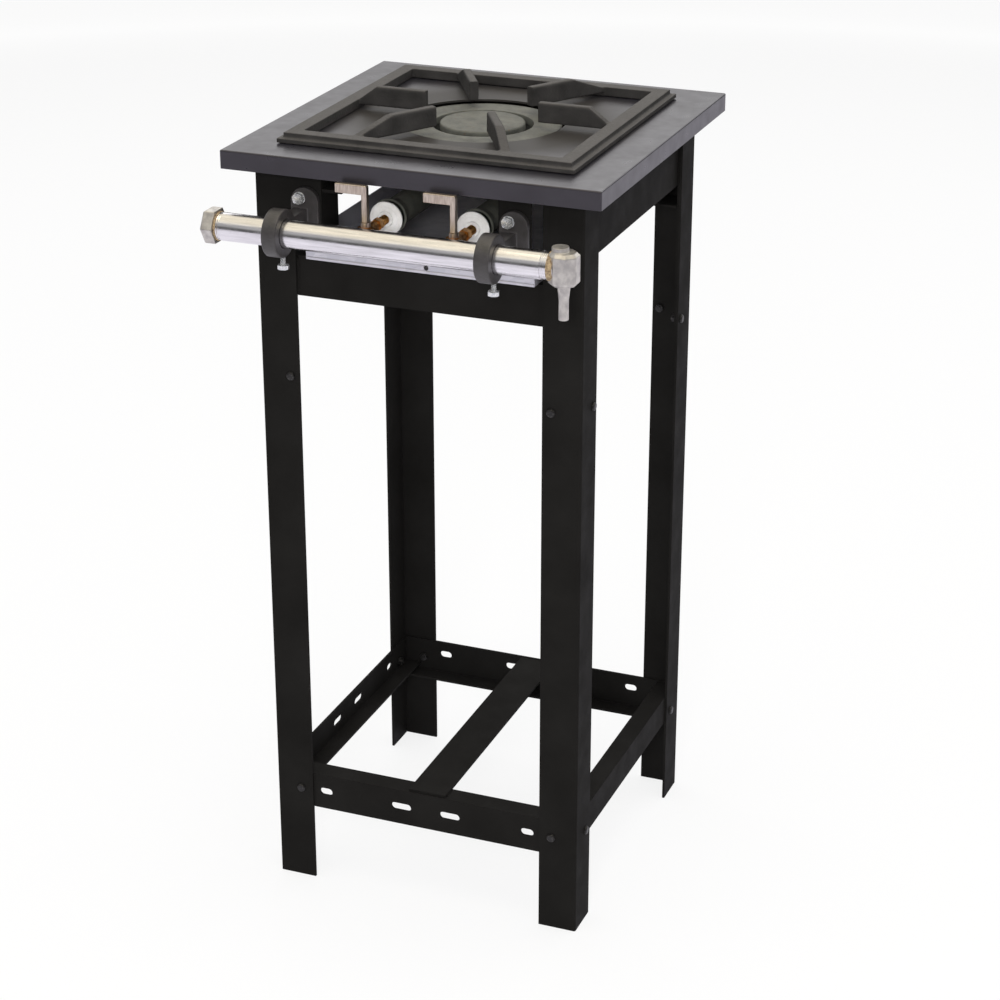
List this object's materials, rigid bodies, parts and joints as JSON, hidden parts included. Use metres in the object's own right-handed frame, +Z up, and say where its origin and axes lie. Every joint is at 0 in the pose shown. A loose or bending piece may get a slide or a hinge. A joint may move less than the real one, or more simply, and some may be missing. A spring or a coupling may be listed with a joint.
{
  "type": "stock pot range",
  "caption": "Gas stock pot range: a square worktop with a cast grate and a double burner on an angle-iron stand, with a front gas rail, taps, drip tray and slotted shelf frame.",
  "frame": {"origin": "on the floor, under the middle of the whole range's footprint, gas rail included", "axes": "+Z up; the gas rail is at the front, on the -Y side; +X is to the right for someone who faces the rail"},
  "size_m": [0.38, 0.434, 0.8153],
  "materials": {
    "stand_paint": "satin black enamel",
    "worktop_paint": "semi-gloss graphite enamel",
    "black_bolt": "black enamel over steel",
    "zinc_fastener": "bright zinc plate",
    "rail_galvanised": "galvanised, smooth",
    "tray_galvanised": "galvanised sheet",
    "fitting_grey": "dull zinc plate over malleable iron",
    "clamp_iron": "black enamel over casting",
    "grate_iron": "rough black casting",
    "burner_iron": "bare grey casting",
    "valve_brass": "turned, unpolished",
    "lever_plated": "satin nickel plate",
    "disc_aluminium": "die cast, brushed face",
    "spring_steel": "drawn wire"
  },
  "bodies": {
    "stand": {"leg_front_left": "stand_paint", "leg_front_right": "stand_paint", "leg_rear_left": "stand_paint", "leg_rear_right": "stand_paint", "stub_front_left": "stand_paint", "stub_front_right": "stand_paint", "stub_rear_left": "stand_paint", "stub_rear_right": "stand_paint", "shelf_bar_front": "stand_paint", "shelf_bar_rear": "stand_paint", "shelf_bar_left": "stand_paint", "shelf_bar_right": "stand_paint", "shelf_bar_middle": "stand_paint", "apron_left": "stand_paint", "apron_right": "stand_paint", "apron_rear": "stand_paint", "crossbar_front": "stand_paint", "crossbar_rear": "stand_paint", "clamp_bracket_left": "stand_paint", "clamp_bracket_right": "stand_paint", "burner_support_left": "stand_paint", "burner_support_right": "stand_paint", "burner_strap": "stand_paint", "worktop": "worktop_paint", "leg_bolts": "black_bolt", "shelf_bolts": "black_bolt", "leg_nuts": "black_bolt", "shelf_nuts": "black_bolt", "clamp_bolts": "zinc_fastener", "clamp_nuts": "zinc_fastener", "clamp_set_screws": "zinc_fastener", "burner_screws": "zinc_fastener", "burner_nuts": "zinc_fastener", "gas_rail": "rail_galvanised", "rail_end_cap": "fitting_grey", "hose_elbow": "fitting_grey", "rail_clamp_left": "clamp_iron", "rail_clamp_right": "clamp_iron", "burner_ring": "burner_iron", "burner_centre": "burner_iron", "valve_body_left": "valve_brass", "valve_body_right": "valve_brass", "jet_left": "valve_brass", "jet_right": "valve_brass"},
    "tap_left": {"lever_left": "lever_plated", "valve_plug_left": "valve_brass", "plug_spring_left": "spring_steel", "plug_nut_left": "zinc_fastener"},
    "tap_right": {"lever_right": "lever_plated", "valve_plug_right": "valve_brass", "plug_spring_right": "spring_steel", "plug_nut_right": "zinc_fastener"},
    "air_left": {"air_disc_left": "disc_aluminium"},
    "air_right": {"air_disc_right": "disc_aluminium"},
    "tray": {"drip_tray": "tray_galvanised"},
    "grate": {"pan_grate": "grate_iron"},
    "ring_cap": {"burner_ring_cap": "burner_iron"},
    "centre_cap": {"burner_centre_cap": "burner_iron"}
  },
  "joints": [
    {"name": "tap_left_turn", "type": "hinge", "parent": "stand", "child": "tap_left", "pos_m": [-0.0372, -0.171, 0.73], "axis": [0, 0, 1], "range_deg": [0, 90]},
    {"name": "tap_right_turn", "type": "hinge", "parent": "stand", "child": "tap_right", "pos_m": [0.051, -0.171, 0.73], "axis": [0, 0, 1], "range_deg": [0, 90]},
    {"name": "air_left_travel", "type": "slide", "parent": "stand", "child": "air_left", "axis": [0, -1, 0], "range_m": [0, 0.008]},
    {"name": "air_right_travel", "type": "slide", "parent": "stand", "child": "air_right", "axis": [0, -1, 0], "range_m": [0, 0.008]},
    {"name": "tray_slide", "type": "slide", "parent": "stand", "child": "tray", "axis": [0, 1, 0], "range_m": [-0.03, 0.28]},
    {"name": "grate_lift", "type": "slide", "parent": "stand", "child": "grate", "axis": [0, 0, 1], "range_m": [0, 0.06]},
    {"name": "ring_cap_lift", "type": "slide", "parent": "stand", "child": "ring_cap", "axis": [0, 0, 1], "range_m": [0, 0.006]},
    {"name": "centre_cap_lift", "type": "slide", "parent": "stand", "child": "centre_cap", "axis": [0, 0, 1], "range_m": [0, 0.06]}
  ]
}
